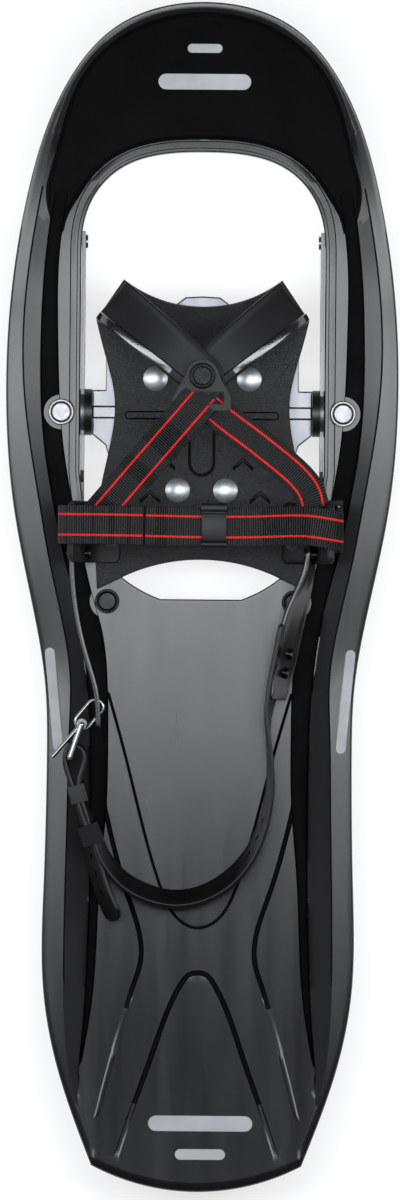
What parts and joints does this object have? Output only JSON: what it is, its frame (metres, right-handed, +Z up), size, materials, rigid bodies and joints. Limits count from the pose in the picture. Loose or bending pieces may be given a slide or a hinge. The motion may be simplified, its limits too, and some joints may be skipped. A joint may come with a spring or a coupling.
{
  "type": "snowshoe",
  "caption": "Long moulded snowshoe with an open toe, a swinging toe crampon under a strapped foot bed, side traction rails and a rubber heel strap.",
  "frame": {"origin": "on the ground under the middle of the deck's outline", "axes": "+X to the wearer's right, +Y to the toe, +Z up"},
  "size_m": [0.2034, 0.615, 0.0957],
  "materials": {
    "deck_plastic": "satin black injection moulding",
    "rail_steel": "zinc-plated stamped steel",
    "silver_rivet": "bright zinc-plated",
    "dark_rivet": "dark plated",
    "pin_steel": "plain steel",
    "black_bush": "matt black",
    "crampon_steel": "plated stamped steel",
    "footbed_nylon": "fine-grained black nylon",
    "screw_black": "textured black cap",
    "arm_rubber": "satin black elastomer",
    "moulded_black": "satin black acetal",
    "webbing": "ribbed black webbing with two red lines",
    "strap_rubber": "smooth black elastomer",
    "wire_steel": "nickel-plated wire"
  },
  "bodies": {
    "deck": {"deck": "deck_plastic", "traction_rail_left": "rail_steel", "traction_rail_right": "rail_steel", "pivot_rivets": "silver_rivet", "deck_rear_rivets": "dark_rivet", "rail_nose_pins": "pin_steel", "pivot_axle": "pin_steel", "pivot_bush_left": "black_bush", "pivot_bush_right": "black_bush"},
    "binding": {"crampon": "crampon_steel", "footbed": "footbed_nylon", "footbed_rivets": "silver_rivet", "wing_rivets": "silver_rivet", "toe_arm_left": "arm_rubber", "toe_arm_right": "arm_rubber", "toe_screw": "screw_black", "toe_nut": "pin_steel", "side_wing_left": "arm_rubber", "side_wing_right": "arm_rubber", "toe_webbing_left": "webbing", "toe_webbing_right": "webbing", "instep_webbing": "webbing", "cam_buckle": "moulded_black", "cam_pin": "pin_steel", "heel_pivot_rivets": "silver_rivet"},
    "strap_loop": {"strap_loop": "moulded_black"},
    "strap_keeper": {"strap_keeper": "moulded_black"},
    "cam_lever": {"cam_lever": "moulded_black"},
    "heel_harness": {"heel_arm_left": "arm_rubber", "heel_arm_right": "arm_rubber", "heel_strap": "strap_rubber", "heel_strap_rivets": "silver_rivet", "heel_ring": "wire_steel", "heel_buckle": "wire_steel", "heel_clip": "wire_steel", "heel_keeper": "moulded_black"},
    "heel_prong": {"heel_prong": "wire_steel"}
  },
  "joints": [
    {"name": "binding_pivot", "type": "hinge", "parent": "deck", "child": "binding", "pos_m": [0, 0.0961, 0.0339], "axis": [-1, 0, 0], "range_deg": [0, 65]},
    {"name": "heel_swing", "type": "hinge", "parent": "binding", "child": "heel_harness", "pos_m": [0, 0.023, 0.058], "axis": [-1, 0, 0], "range_deg": [0, 45]},
    {"name": "loop_swivel", "type": "hinge", "parent": "binding", "child": "strap_loop", "pos_m": [0, 0.1147, 0.0833], "axis": [0, 0, 1], "range_deg": [-10, 10]},
    {"name": "keeper_slide", "type": "slide", "parent": "binding", "child": "strap_keeper", "axis": [1, 0, 0], "range_m": [-0.02, 0.02]},
    {"name": "cam_lever_open", "type": "hinge", "parent": "binding", "child": "cam_lever", "pos_m": [0.0706, 0.0376, 0.0715], "axis": [0, -1, 0], "range_deg": [0, 80]},
    {"name": "prong_turn", "type": "hinge", "parent": "heel_harness", "child": "heel_prong", "pos_m": [-0.0609, -0.06528, 0.05645], "axis": [0, 0.0628, -0.998], "range_deg": [0, 50]}
  ]
}
